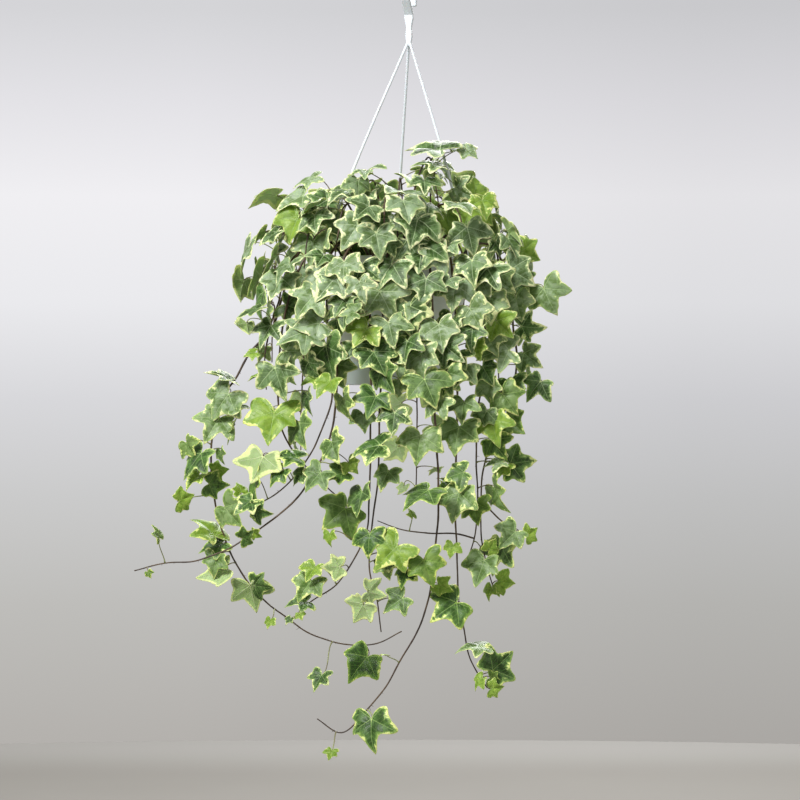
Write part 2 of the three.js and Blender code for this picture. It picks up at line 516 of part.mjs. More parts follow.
const ray = new THREE.Ray();
const hit = new THREE.Vector3();
function edgeCuts(one, other) {
  return one.ends.some((from, k) => {
    const to = one.ends[(k + 1) % 3];
    ray.origin.copy(from);
    ray.direction.subVectors(to, from).normalize();
    const met = ray.intersectTriangle(...other.ends, false, hit);
    return met !== null && from.distanceTo(hit) <= from.distanceTo(to);
  });
}

const placed = [];
function blocked(triangles, ownStem = null) {
  const reach = new THREE.Box3();
  triangles.forEach(({ box }) => reach.union(box));
  const near = placed.filter(({ box, owner }) => (
    box.intersectsBox(reach) && (ownStem === null || owner !== ownStem)));
  return triangles.some((mine) => near.some((theirs) => (
    mine.box.intersectsBox(theirs.box) && (edgeCuts(mine, theirs) || edgeCuts(theirs, mine)))));
}

// ---------- growing ----------
const toPoint = ([x, y, depth]) => vector(x, y, -depth);
const seenFlat = (point) => vector(point.x, 0, point.z);

// The stem goes straight down into the soil at its root.
function stemLines(route, branches = []) {
  const points = route.map(toPoint);
  const buried = points[0].clone().setZ(soilZ - ROOT_DEPTH);
  const collar = points[0].clone().setZ(soilZ + 5);
  const neck = points[0].clone().setZ(soilZ + 3);
  return [[neck, ...points.slice(1)], [buried, collar],
    ...branches.map((line) => line.map(toPoint))];
}

// The stem's straight pieces, which its petioles spring from, are the pieces that its rods have.
function growStem(name, lines) {
  const rods = [];
  const axis = [];
  lines.forEach((line, i) => {
    if (i > 1) line[0].copy(nearestOn(axis, line[0]));
    const curve = new THREE.CatmullRomCurve3(line, false, 'centripetal');
    const steps = i === 1 ? 1 : Math.max(4, Math.round(curve.getLength() / STEM_STEP));
    rods.push(rod(line, i < 2 ? STEM_RADIUS : BRANCH_RADIUS, STEM_SIDES, steps));
    const joints = curve.getSpacedPoints(steps);
    for (let k = 1; k < steps; k += 1) axis.push(new THREE.Line3(joints[k], joints[k + 1]));
  });
  return { name, axis, rods, main: lines[0] };
}

function settleStem(stem) {
  stem.body = stem.rods.map(solid).reduce((whole, part) => whole.add(part));
  placed.push(...trianglesOf(geometryOf(stem.body), stem.name));
}

function nearestOn(axis, point, flat = false) {
  const spots = axis.map((piece) => {
    const line = flat ? new THREE.Line3(seenFlat(piece.start), seenFlat(piece.end)) : piece;
    const share = line.closestPointToPointParameter(flat ? seenFlat(point) : point, true);
    return { away: line.at(share, vector(0, 0, 0)).distanceTo(flat ? seenFlat(point) : point),
      spot: piece.at(share, vector(0, 0, 0)) };
  });
  return spots.reduce((best, next) => (next.away < best.away ? next : best)).spot;
}

// Adds the leaf if neither it nor its petiole meets anything but its own stem at the root.
function addLeaf(stem, leaf, start) {
  const startWay = leaf.joint.clone().sub(start).normalize()
    .addScaledVector(UP, PETIOLE_RISE).normalize();
  const tested = trianglesOf(leafGeometry(leaf, start, startWay, GAP));
  // The petiole's first piece starts inside its own stem, so it may cross that one.
  const ownStart = tested.slice(1, PETIOLE_START);
  if (blocked(ownStart, stem.name) || blocked(tested.slice(PETIOLE_START))) return false;
  const geometry = leafGeometry(leaf, start, startWay);
  const grown = stem.body.add(solid(geometry));
  if (grown.decompose().length > 1) return false;
  stem.body = grown;
  placed.push(...trianglesOf(geometry));
  return true;
}

function layLeaf(stem, [x, depth, length, points, turn], seed) {
  const random = randomStream(seed);
  for (let attempt = 0; attempt < TRIES; attempt += 1) {
    const loose = attempt / TRIES;
    const start = nearestOn(stem.axis, vector(x, 0, -depth), true);
    const depthShift = -LEAF_STANDOFF[0] - LEAF_STANDOFF[1] * random()
      + LOOSE_DEPTH * loose * (random() - 0.5);
    const joint = vector(x + LOOSE_SHIFT * loose * (random() - 0.5), start.y + depthShift,
      -depth + LOOSE_SHIFT * loose * (random() - 0.5));
    const way = radians(points + LOOSE_WAY * loose * (random() - 0.5));
    const pitch = LEAN * (random() - 0.6);
    const along = vector(Math.cos(way), pitch, Math.sin(way));
    const face = vector(0, -1, 0.4).applyAxisAngle(along.clone().normalize(),
      radians(turn + LOOSE_TURN * loose * (random() - 0.5)));
    if (addLeaf(stem, pose(joint, along, face, length * (1 - LOOSE_SHRINK * loose)), start)) return;
  }
}

function growLeavesFreely(stem, seed, reach) {
  const random = randomStream(seed);
  const curve = new THREE.CatmullRomCurve3(stem.main, false, 'centripetal');
  const length = curve.getLength();
  let side = 1;
  const step = () => FREE_LEAF_SPACING * (0.8 + 0.4 * random());
  for (let run = FIRST_FREE_LEAF; run < Math.min(length, reach); run += step()) {
    const t = run / length;
    const start = nearestOn(stem.axis, curve.getPointAt(t));
    const tangent = curve.getTangentAt(t);
    const out = vector(start.x - POT_X, start.y, 0).normalize();
    side = -side;
    const size = (FREE_LEAF_LENGTH[0] + FREE_LEAF_LENGTH[1] * random()) * (1 - 0.55 * t ** 4);
    for (let attempt = 0; attempt < TRIES; attempt += 1) {
      const sideways = tangent.clone().cross(out).setLength(side * (0.5 + random()));
      const lift = start.z > RIM_Z ? 0.9 : 0.3;
      const away = sideways.addScaledVector(out, 0.4 + 0.9 * random())
        .addScaledVector(UP, lift * (random() + 0.1)).normalize();
      const joint = start.clone()
        .addScaledVector(away, FREE_PETIOLE[0] + FREE_PETIOLE[1] * random());
      const rise = THREE.MathUtils.clamp((joint.z - RIM_Z) / 60, 0.1, 1.6);
      const face = out.clone().addScaledVector(UP, rise)
        .add(vector(random() - 0.5, random() - 0.5, random() - 0.5).multiplyScalar(FACE_SPREAD));
      const along = vector(0, 0, -1).addScaledVector(out, 0.5).addScaledVector(away, 0.7 * random())
        .add(vector(random() - 0.5, random() - 0.5, 0).multiplyScalar(TIP_SPREAD));
      if (addLeaf(stem, pose(joint, along, face, size), start)) break;
    }
  }
}

function freeRoute([angle, rootDistance, height, reach, hang], random) {
  const turn = radians(angle + 8 * (random() - 0.5));
  const out = (distance, depth, sway = 0) => [
    POT_X + distance * Math.cos(turn + sway), distance * Math.sin(turn + sway), depth];
  const rim = -RIM_Z;
  const route = [out(rootDistance, rim + SOIL_DEPTH),
    out(rootDistance + 0.25 * (reach - rootDistance), rim - 0.75 * height),
    out(rootDistance + 0.6 * (reach - rootDistance), rim - height),
    out(reach - 3, rim - 0.45 * height)];
  const sway = 0.25 * (random() - 0.5);
  for (let fallen = 0; fallen < hang; fallen += SAG_STEP) {
    route.push(out(reach + 6 * random(), rim + 12 + fallen, sway * fallen / hang));
  }
  return route;
}

function growAll() {
  const stems = SHOOTS.map(({ name, route, branches }) => growStem(name, stemLines(route, branches)));
  stems.forEach(settleStem);
  FREE_SHOOTS.forEach((shape, i) => {
    const random = randomStream(900 + i);
    for (let attempt = 0; attempt < TRIES; attempt += 1) {
      const stem = growStem(`shoot_free_${String(i + 1).padStart(2, '0')}`,
        stemLines(freeRoute(shape, random)));
      if (blocked(stem.rods.flatMap((part) => trianglesOf(part)))) continue;
      settleStem(stem);
      stems.push(stem);
      break;
    }
  });
  placed.push(...trianglesOf(geometryOf(soilBody([]).translate([POT_X, 0, RIM_Z]))));
  SHOOTS.forEach(({ leaves }, i) => leaves.forEach((leaf, k) => (
    layLeaf(stems[i], leaf, 1000 * (i + 1) + k))));
  stems.forEach((stem, i) => (
    growLeavesFreely(stem, 50 + i, i < SHOOTS.length ? CROWN_REACH : Infinity)));
  return stems;
}

// ---------- assembly ----------
const plant = new THREE.Group();
const potFrame = new THREE.Group();
potFrame.position.set(POT_X, 0, RIM_Z);
plant.add(potFrame);

const pot = potBody();
const saucer = saucerBody();
const hanger = hangerBody();
[pot, saucer].forEach((piece) => (
  placed.push(...trianglesOf(geometryOf(piece.translate([POT_X, 0, RIM_Z]))))));
placed.push(...trianglesOf(geometryOf(hanger)));
const shoots = growAll();
const rootPlaces = shoots.map(({ main }) => main[0].toArray());
const soil = soilBody(rootPlaces);

potFrame.add(named('pot', pot, POT_PLASTIC));
potFrame.add(named('saucer', saucer, SAUCER_PLASTIC));
potFrame.add(named('soil', soil, SOIL));
plant.add(named('hanger', hanger, WHITE_PLASTIC));
shoots.forEach(({ name, body }) => plant.add(named(name, body, LEAVES)));

export default plant;
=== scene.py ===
"""Variegated ivy trailing from a white hanging pot, built around the CAD frame."""

import math
import random
from types import SimpleNamespace

import bmesh
import bpy
import numpy as np
from mathutils import Matrix, Vector, noise
from mathutils.kdtree import KDTree


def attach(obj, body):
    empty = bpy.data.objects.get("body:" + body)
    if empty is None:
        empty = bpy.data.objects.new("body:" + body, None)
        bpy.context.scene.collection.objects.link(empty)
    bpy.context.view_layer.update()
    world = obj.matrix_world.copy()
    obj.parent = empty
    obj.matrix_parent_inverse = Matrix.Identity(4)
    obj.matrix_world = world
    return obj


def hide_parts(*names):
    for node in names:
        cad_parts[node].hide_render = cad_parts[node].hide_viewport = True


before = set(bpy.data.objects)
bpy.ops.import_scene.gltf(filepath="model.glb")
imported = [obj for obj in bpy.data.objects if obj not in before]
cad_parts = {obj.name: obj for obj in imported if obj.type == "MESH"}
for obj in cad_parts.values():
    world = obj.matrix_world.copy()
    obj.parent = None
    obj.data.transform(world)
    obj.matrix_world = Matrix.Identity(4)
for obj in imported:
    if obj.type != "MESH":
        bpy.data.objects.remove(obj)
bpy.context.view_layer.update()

# Lengths are in metres. The pot's, the saucer's and the soil's are the frame's own.
MM = 0.001
TURN = 2 * math.pi
PHASES = (0, 6.28)  # a wave's random phase is drawn from these
POT_X = -14 * MM
RIM_Z = -278 * MM
RIM_RADIUS = 86.5 * MM
RIM_BAND = 14 * MM
WALL = 1.5 * MM
LIP_OUTSIDE = 79.5 * MM
POT_HEIGHT = 121 * MM
POT_FOOT_RADIUS = 47 * MM
SOIL_DEPTH = 12 * MM
SAUCER_HEIGHT = 21.5 * MM
SAUCER_DROP = 4 * MM
SAUCER_TOP_RADIUS = 54 * MM
SAUCER_FOOT_RADIUS = 49.5 * MM
SAUCER_HOLLOW = 0.8 * MM  # how far the saucer's underside is raised inside its foot ring
HANGER_VOXEL = 0.38 * MM
HANGER_REGAIN = 0.25 * MM  # gives back what the relaxing takes off each face
TURNED_SIDES = 144
SOIL_RINGS = 46
SOIL_SIDES = 150
CRUMBS = 260

CAMERA_AT = Vector((-0.009, -2.5, -0.418))
CAMERA_LENS, SENSOR_WIDTH = 112.5, 36  # both in mm
FLOOR_Z = -1.02
FLOOR_RADIUS = 4.5
FLOOR_FAR = 1.93  # how far behind the object the floor ends
FLOOR_PALER = (1.5, 1.86)  # how far behind the object it starts and stops to turn paler
# The backdrop's colours from low to high, and how it darkens from left to right.
BACKDROP = [(0.15, (176, 173, 169)), (0.29, (186, 185, 182)), (0.40, (198, 198, 198)),
            (0.50, (211, 211, 214)), (0.60, (229, 229, 232)), (0.71, (235, 234, 237)),
            (0.81, (222, 221, 225)), (0.90, (208, 208, 211))]
BACKDROP_RISE = 2.6
BACKDROP_SIDE = -0.6
BACKDROP_LIMITS = (0.93, 1.05)
AMBIENT = 0.42
AMBIENT_COLOUR = (1.0, 0.98, 0.93, 1)
# Name, place, point that it faces, width and power of each lamp.
LAMPS = [("key", (-1.4, -1.6, 1.3), (0, 0, -0.35), 0.9, 92),
         ("fill", (1.9, -1.6, -0.1), (0, 0, -0.4), 1.6, 9),
         ("back", (0.5, 1.9, 0.9), (0, 0, -0.3), 1.4, 44)]


# ---------- camera, floor and light ----------
def make_camera():
    data = bpy.data.cameras.new("camera")
    data.lens = CAMERA_LENS
    data.sensor_width = SENSOR_WIDTH
    data.clip_end = 50
    camera = bpy.data.objects.new("camera", data)
    camera.location = CAMERA_AT
    camera.rotation_euler = (math.radians(90), 0, 0)
    bpy.context.scene.collection.objects.link(camera)
    bpy.context.scene.camera = camera


def make_object(name, mesh):
    made = bpy.data.objects.new(name, mesh)
    bpy.context.scene.collection.objects.link(made)
    return made


def area_light(name, at, toward, size, power):
    data = bpy.data.lights.new(name, "AREA")
    data.shape = "DISK"
    data.size = size
    data.energy = power
    lamp = bpy.data.objects.new(name, data)
    lamp.location = at
    lamp.rotation_euler = (Vector(toward) - Vector(at)).to_track_quat("-Z", "Y").to_euler()
    bpy.context.scene.collection.objects.link(lamp)


def make_world():
    """A pale studio: brightest behind the crown, as seen, and an even soft light on the object."""
    world = bpy.data.worlds.new("studio")
    bpy.context.scene.world = world
    bpy.context.scene.view_settings.view_transform = "Standard"
    world.use_nodes = True
    tree = world.node_tree
    tree.nodes.clear()
    link = tree.links.new
    way = tree.nodes.new("ShaderNodeTexCoord").outputs["Generated"]

    def slope_plus(direction, added):
        """How far the way that is looked runs along direction, plus a number."""
        slope = tree.nodes.new("ShaderNodeVectorMath")
        slope.operation = "DOT_PRODUCT"
        slope.inputs[1].default_value = direction
        total = tree.nodes.new("ShaderNodeMath")
        total.inputs[1].default_value = added
        link(way, slope.inputs[0])
        link(slope.outputs["Value"], total.inputs[0])
        return total.outputs[0]

    ramp = tree.nodes.new("ShaderNodeValToRGB")
    stops = ramp.color_ramp.elements
    stops[0].position, stops[0].color = BACKDROP[0][0], rgb(*BACKDROP[0][1])
    stops[1].position, stops[1].color = BACKDROP[-1][0], rgb(*BACKDROP[-1][1])
    for height, colour in BACKDROP[1:-1]:
        stops.new(height).color = rgb(*colour)
    limit = tree.nodes.new("ShaderNodeClamp")
    limit.inputs["Min"].default_value, limit.inputs["Max"].default_value = BACKDROP_LIMITS
    seen = tree.nodes.new("ShaderNodeBackground")
    link(slope_plus((0.0, 0.0, BACKDROP_RISE), 0.5), ramp.inputs[0])
    link(slope_plus((BACKDROP_SIDE, 0.0, 0.0), 1.0), limit.inputs["Value"])
    link(limit.outputs[0], seen.inputs["Strength"])
    link(ramp.outputs[0], seen.inputs["Color"])

    light = tree.nodes.new("ShaderNodeBackground")
    light.inputs["Color"].default_value = AMBIENT_COLOUR
    light.inputs["Strength"].default_value = AMBIENT
    path = tree.nodes.new("ShaderNodeLightPath")
    mix = tree.nodes.new("ShaderNodeMixShader")
    out = tree.nodes.new("ShaderNodeOutputWorld")
    link(path.outputs["Is Camera Ray"], mix.inputs["Fac"])
    link(light.outputs[0], mix.inputs[1])
    link(seen.outputs[0], mix.inputs[2])
    link(mix.outputs[0], out.inputs["Surface"])


def make_floor():
    bm = bmesh.new()
    bmesh.ops.create_circle(bm, cap_ends=True, segments=256, radius=FLOOR_RADIUS)
    bmesh.ops.translate(bm, verts=bm.verts, vec=(0, FLOOR_FAR - FLOOR_RADIUS, 0))
    mesh = bpy.data.meshes.new("floor")
    bm.to_mesh(mesh)
    bm.free()
    floor = make_object("floor", mesh)
    floor.location = (POT_X, 0, FLOOR_Z)
    floor.data.materials.append(pale_floor())


# ---------- materials ----------
# In a leaf's own plane its petiole is at (0, 0) and its tip at (0, 1).
LATERAL_ANGLE = math.radians(61.7)  # from the middle vein to the vein of a side lobe
BASAL_ANGLE = math.radians(125.8)
VEIN_FIELDS = (math.radians(31), math.radians(94))  # where one vein's field ends
LEAF_SCATTER = (0.6, 1.0, 0.25)


class Material:
    """A Principled material and short ways to add nodes to it."""

    def __init__(self, name, roughness=0.5, **sockets):
        self.made = bpy.data.materials.new(name)
        self.made.use_nodes = True
        self.tree = self.made.node_tree
        self.shader = self.tree.nodes["Principled BSDF"]
        self.shader.inputs["Roughness"].default_value = roughness
        for key, value in sockets.items():
            self.shader.inputs[key.replace("_", " ")].default_value = value

    def node(self, kind, inputs=(), **settings):
        made = self.tree.nodes.new(kind)
        for key, value in settings.items():
            setattr(made, key, value)
        for key, value in dict(inputs).items():
            self.put(value, made.inputs[key])
        return made

    def put(self, value, socket):
        if isinstance(value, bpy.types.NodeSocket):
            self.tree.links.new(value, socket)
        else:
            socket.default_value = value

    def math(self, operation, *values, clamp=False):
        made = self.node("ShaderNodeMath", operation=operation, use_clamp=clamp)
        for socket, value in zip(made.inputs, values):
            self.put(value, socket)
        return made.outputs[0]

    def smooth(self, value, low, high):
        """0 below low, 1 above high."""
        made = self.node("ShaderNodeMapRange", interpolation_type="SMOOTHSTEP", inputs={
            "Value": value, "From Min": low, "From Max": high})
        return made.outputs["Result"]

    def mix(self, factor, one, other, blend="MIX"):
        made = self.node("ShaderNodeMix", data_type="RGBA", blend_type=blend)
        self.put(factor, made.inputs["Factor"])
        colours = [s for s in made.inputs if s.type == "RGBA"]
        self.put(one, colours[0])
        self.put(other, colours[1])
        return next(s for s in made.outputs if s.type == "RGBA")

    def noise(self, place, scale, detail=3, roughness=0.5, distortion=0):
        made = self.node("ShaderNodeTexNoise", inputs={
            "Vector": place, "Scale": scale, "Detail": detail, "Roughness": roughness,
            "Distortion": distortion})
        return made.outputs["Fac"]

    def attribute(self, name):
        return self.node("ShaderNodeAttribute", attribute_name=name)

    def position(self):
        return self.node("ShaderNodeTexCoord").outputs["Object"]

    def bump(self, height, distance, strength=1.0):
        made = self.node("ShaderNodeBump", inputs={
            "Height": height, "Distance": distance, "Strength": strength})
        self.put(made.outputs[0], self.shader.inputs["Normal"])


def rgb(red, green, blue):
    """An sRGB colour, 0 to 255, as the linear colour that a socket takes."""
    def linear(value):
        value /= 255
        return value / 12.92 if value <= 0.04045 else ((value + 0.055) / 1.055) ** 2.4
    return (linear(red), linear(green), linear(blue), 1)


def pale_floor():
    m = Material("pale_floor", roughness=0.7)
    place = m.position()
    cloud = m.noise(place, 3.0)
    near = m.mix(cloud, rgb(140, 137, 132), rgb(147, 144, 139))
    away = m.node("ShaderNodeSeparateXYZ", inputs={0: place}).outputs[1]
    m.put(m.mix(m.smooth(away, *FLOOR_PALER), near, rgb(164, 162, 159)),
          m.shader.inputs["Base Color"])
    return m.made


def vein_pattern(m, x, y):
    """Masks of the five main veins and of the side veins, from a leaf's own coordinates."""
    side = m.math("ABSOLUTE", x)
    reach = m.math("SQRT", m.math("ADD", m.math("MULTIPLY", x, x), m.math("MULTIPLY", y, y)))
    angle = m.math("ARCTAN2", side, y)
    past_middle = m.math("GREATER_THAN", angle, VEIN_FIELDS[0])
    past_lateral = m.math("GREATER_THAN", angle, VEIN_FIELDS[1])
    nearest = m.math("ADD", m.math("MULTIPLY", past_middle, LATERAL_ANGLE),
                     m.math("MULTIPLY", past_lateral, BASAL_ANGLE - LATERAL_ANGLE))
    off = m.math("SUBTRACT", angle, nearest)
    across = m.math("MULTIPLY", reach, m.math("ABSOLUTE", m.math("SINE", off)))
    along = m.math("MULTIPLY", reach, m.math("COSINE", off))
    width = m.math("MULTIPLY_ADD", along, -0.014, 0.024)
    main = m.math("SUBTRACT", 1.0, m.smooth(m.math("DIVIDE", across, width), 0.35, 1.0))
    beat = m.math("FRACT", m.math("MULTIPLY", m.math("MULTIPLY_ADD", across, -0.8, along), 7.0))
    ridge = m.math("ABSOLUTE", m.math("SUBTRACT", beat, 0.5))
    fine = m.math("SUBTRACT", 1.0, m.smooth(ridge, 0.02, 0.11))
    fine = m.math("MULTIPLY", fine, m.math("SUBTRACT", 1.0, m.smooth(across, 0.16, 0.34)))
    return main, fine


def leaf_inputs(m):
    """What the mesh says of each point of a blade and of the leaf that it belongs to."""
    flat = m.attribute("leaf_xy").outputs["Vector"]
    split = m.node("ShaderNodeSeparateXYZ", inputs={0: flat}).outputs
    look = m.attribute("leaf_look")
    tone = m.node("ShaderNodeSeparateColor", inputs={0: look.outputs["Color"]}).outputs
    shift = m.node("ShaderNodeCombineXYZ", inputs={2: m.math("MULTIPLY", tone[0], 37.0)}).outputs[0]
    flat_only = m.node("ShaderNodeCombineXYZ", inputs={0: split[0], 1: split[1]}).outputs[0]
    place = m.node("ShaderNodeVectorMath", operation="ADD", inputs={0: flat_only, 1: shift})
    return SimpleNamespace(x=split[0], y=split[1], edge=split[2], seed=tone[0], cream=tone[1],
                           grey_and_sheen=tone[2], young=look.outputs["Alpha"], place=place.outputs[0])


def leaf_top():
    m = Material("ivy_leaf_top", roughness=0.42, Subsurface_Weight=0.12, Subsurface_Scale=0.002,
                 Specular_IOR_Level=0.35)
    m.shader.inputs["Subsurface Radius"].default_value = LEAF_SCATTER
    leaf = leaf_inputs(m)
    blotch = m.smooth(m.noise(leaf.place, 2.6, 3, 0.6, 0.9), 0.40, 0.60)
    tone = m.smooth(leaf.seed, 0.1, 0.95)
    deep = m.mix(tone, rgb(38, 72, 20), rgb(86, 118, 40))
    mid = m.mix(tone, rgb(66, 106, 34), rgb(124, 152, 70))
    fresh = m.mix(blotch, deep, mid)
    # Colours of the grey leaves, darker and paler blotches; their paleness is partly real
    # grey-green and partly painted sheen.
    shade = m.mix(tone, rgb(50, 76, 24), rgb(108, 134, 76))
    pale = m.mix(tone, rgb(92, 124, 66), rgb(164, 184, 150))
    grey_and_sheen_colour = m.mix(blotch, shade, pale)
    # Painted sheen, in part: the grey factor turns high and upward-facing leaves paler and greyer,
    # beside the crown's real grey-green.
    blade = m.mix(leaf.grey_and_sheen, fresh, grey_and_sheen_colour)
    blade = m.mix(leaf.young, blade, m.mix(blotch, rgb(126, 160, 42), rgb(160, 190, 72)))
    mottle = m.noise(leaf.place, 26.0, 4, 0.6)
    blade = m.mix(m.math("MULTIPLY", mottle, 0.35), blade, rgb(50, 70, 34), "MULTIPLY")
    wander = m.noise(leaf.place, 4.5, 4, 0.55, 0.8)
    width = m.math("MULTIPLY_ADD", m.smooth(wander, 0.44, 0.74), 0.13, 0.012)
    width = m.math("MULTIPLY", width, leaf.cream)
    inside = m.smooth(m.math("SUBTRACT", leaf.edge, width), -0.02, 0.012)
    halo = m.smooth(m.math("SUBTRACT", leaf.edge, width), 0.0, 0.09)
    # The band inside the margin, the margin and the veins are paler too where the grey factor,
    # partly painted sheen, is high.
    blade = m.mix(halo, m.mix(leaf.grey_and_sheen, rgb(118, 152, 56), rgb(148, 172, 116)), blade)
    margin = m.mix(wander, m.mix(leaf.grey_and_sheen, rgb(190, 206, 92), rgb(212, 220, 146)),
                   m.mix(leaf.grey_and_sheen, rgb(220, 226, 136), rgb(240, 242, 200)))
    blade = m.mix(inside, margin, blade)
    main, fine = vein_pattern(m, leaf.x, leaf.y)
    veins = m.mix(leaf.grey_and_sheen, rgb(134, 168, 76), rgb(176, 196, 150))
    blade = m.mix(m.math("MULTIPLY", main, 0.62), blade, veins)
    blade = m.mix(m.math("MULTIPLY", fine, 0.22), blade, veins)
    m.put(blade, m.shader.inputs["Base Color"])
    m.put(m.math("MULTIPLY_ADD", mottle, 0.25, 0.30), m.shader.inputs["Roughness"])
    relief = m.math("ADD", m.math("MULTIPLY", main, -1.0), m.math("MULTIPLY", fine, -0.45))
    relief = m.math("ADD", relief, m.math("MULTIPLY", m.noise(leaf.place, 40.0, 3), 0.5))
    m.bump(relief, 0.4 * MM, 0.7)
    return m.made


def leaf_under():
    m = Material("ivy_leaf_under", roughness=0.6, Subsurface_Weight=0.15, Subsurface_Scale=0.002)
    m.shader.inputs["Subsurface Radius"].default_value = LEAF_SCATTER
    leaf = leaf_inputs(m)
    soft = m.noise(leaf.place, 5.0, 3)
    blade = m.mix(soft, m.mix(leaf.seed, rgb(104, 132, 66), rgb(150, 176, 112)),
                  m.mix(leaf.seed, rgb(136, 160, 92), rgb(184, 204, 152)))
    width = m.math("MULTIPLY", m.math("MULTIPLY_ADD", soft, 0.12, 0.02), leaf.cream)
    inside = m.smooth(m.math("SUBTRACT", leaf.edge, width), -0.03, 0.03)
    blade = m.mix(inside, rgb(206, 218, 146), blade)
    main, fine = vein_pattern(m, leaf.x, leaf.y)
    blade = m.mix(m.math("MULTIPLY", main, 0.7), blade, rgb(196, 210, 160))
    blade = m.mix(m.math("MULTIPLY", fine, 0.3), blade, rgb(186, 202, 150))
    m.put(blade, m.shader.inputs["Base Color"])
    relief = m.math("ADD", main, m.math("MULTIPLY", fine, 0.5))
    m.bump(relief, 0.6 * MM, 0.8)
    return m.made


def bark():
    m = Material("ivy_bark", roughness=0.62)
    place = m.position()
    thin = m.attribute("petiole").outputs["Fac"]
    patch = m.smooth(m.noise(place, 38.0, 3), 0.38, 0.62)
    fine = m.noise(place, 900.0, 3)
    wood = m.mix(patch, rgb(46, 34, 32), rgb(84, 66, 46))
    wood = m.mix(m.math("MULTIPLY", fine, 0.3), wood, rgb(112, 92, 70))
    green = m.mix(patch, rgb(104, 92, 66), rgb(140, 148, 88))
    m.put(m.mix(thin, wood, green), m.shader.inputs["Base Color"])
    m.put(m.math("MULTIPLY_ADD", fine, 0.3, 0.42), m.shader.inputs["Roughness"])
    m.bump(fine, 0.4 * MM, 0.6)
    return m.made


def moulded_plastic(name, colour, shade, roughness, grain=0.06 * MM, depth=0.08):
    """Clouded between two colours; grain is how deep its texture is, depth how milky it is."""
    m = Material(name, roughness=roughness, Subsurface_Weight=depth, Subsurface_Scale=0.004)
    place = m.position()
    cloud = m.noise(place, 14.0, 4)
    scuff = m.smooth(m.noise(place, 160.0, 5, 0.7), 0.56, 0.74)
    base = m.mix(cloud, shade, colour)
    base = m.mix(m.math("MULTIPLY", scuff, 0.12), base, rgb(150, 150, 140))
    m.put(base, m.shader.inputs["Base Color"])
    m.put(m.math("MULTIPLY_ADD", scuff, 0.18, roughness), m.shader.inputs["Roughness"])
    m.bump(m.noise(place, 700.0, 2), grain, 0.5)
    return m.made


def peat():
    m = Material("peat", roughness=0.95)
    place = m.position()
    crumb = m.noise(place, 320.0, 5, 0.65)
    fibre = m.smooth(m.noise(place, 700.0, 3, 0.7, 1.5), 0.58, 0.7)
    base = m.mix(crumb, rgb(38, 27, 20), rgb(88, 66, 46))
    base = m.mix(m.math("MULTIPLY", fibre, 0.6), base, rgb(136, 112, 78))
    m.put(base, m.shader.inputs["Base Color"])
    m.bump(crumb, 1.5 * MM, 0.9)
    return m.made


# ---------- shapes ----------
def smooth_shaded(mesh):
    mesh.polygons.foreach_set("use_smooth", [True] * len(mesh.polygons))


def on_circle(radius, angle):
    return radius * math.cos(angle), radius * math.sin(angle)


def object_in_pot(name, bm, material):
    """An object from a bmesh that has the middle of the pot's rim at its origin."""
    bmesh.ops.recalc_face_normals(bm, faces=bm.faces)
    mesh = bpy.data.meshes.new(name)
    bm.to_mesh(mesh)
    bm.free()
    mesh.transform(Matrix.Translation((POT_X, 0, RIM_Z)))
    smooth_shaded(mesh)
    mesh.materials.append(material)
    return make_object(name, mesh)


def lathe(name, profile, material):
    """A closed turned body: profile is (radius, height) from the axis round to the axis."""
    bm = bmesh.new()
    rings = []
    for radius, height in profile:
        if radius < 1e-7:
            rings.append([bm.verts.new((0, 0, height))])
            continue
        rings.append([bm.verts.new((*on_circle(radius, TURN * k / TURNED_SIDES), height))
                      for k in range(TURNED_SIDES)])
    for low, high in zip(rings, rings[1:]):
        for k in range(TURNED_SIDES):
            n = (k + 1) % TURNED_SIDES
            corners = [low[k % len(low)], low[n % len(low)],
                       high[n % len(high)], high[k % len(high)]]
            corners = list(dict.fromkeys(corners))
            if len(corners) > 2:
                bm.faces.new(corners)
    return object_in_pot(name, bm, material)


def rounded(points, radius, steps=4):
    """A profile with every corner between its two ends rounded."""
    made = [points[0]]
    for before, here, after in zip(points, points[1:], points[2:]):
        a, b, c = (Vector((*p, 0)) for p in (before, here, after))
        cut = min(radius, (a - b).length * 0.45, (c - b).length * 0.45)
        start, end = b + (a - b).normalized() * cut, b + (c - b).normalized() * cut
        for k in range(steps + 1):
            t = k / steps
            p = start.lerp(b, t).lerp(b.lerp(end, t), t)
            made.append((p.x, p.y))
    made.append(points[-1])
    return made


def make_pot():
    under_lip = -WALL * 1.6
    profile = rounded([
        (0, -POT_HEIGHT), (POT_FOOT_RADIUS, -POT_HEIGHT), (LIP_OUTSIDE, under_lip),
        (RIM_RADIUS - WALL, under_lip), (RIM_RADIUS - WALL, -RIM_BAND), (RIM_RADIUS, -RIM_BAND),
        (RIM_RADIUS, 0), (LIP_OUTSIDE - WALL, 0), (POT_FOOT_RADIUS - WALL, -POT_HEIGHT + WALL),
        (0, -POT_HEIGHT + WALL)], 1.2 * MM)
    pot = lathe("pot_shell", profile,
                moulded_plastic("pot_plastic", rgb(216, 222, 216), rgb(202, 209, 202), 0.42))
    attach(pot, "root")
    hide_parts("pot")


def make_saucer():
    foot = -POT_HEIGHT - SAUCER_DROP
    top = foot + SAUCER_HEIGHT
    bead = 1.0 * MM
    profile = rounded([
        (0, foot + SAUCER_HOLLOW), (SAUCER_FOOT_RADIUS - 9 * MM, foot + SAUCER_HOLLOW),
        (SAUCER_FOOT_RADIUS - 8 * MM, foot), (SAUCER_FOOT_RADIUS, foot),
        (SAUCER_TOP_RADIUS - bead, top - 3 * MM), (SAUCER_TOP_RADIUS, top - 2.6 * MM),
        (SAUCER_TOP_RADIUS, top), (SAUCER_TOP_RADIUS - WALL, top),
        (SAUCER_FOOT_RADIUS - WALL, foot + WALL), (0, foot + WALL)], 0.9 * MM)
    saucer = lathe("saucer_dish", profile,
                   moulded_plastic("saucer_plastic", rgb(206, 216, 216), rgb(190, 201, 200), 0.34))
    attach(saucer, "root")
    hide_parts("saucer")


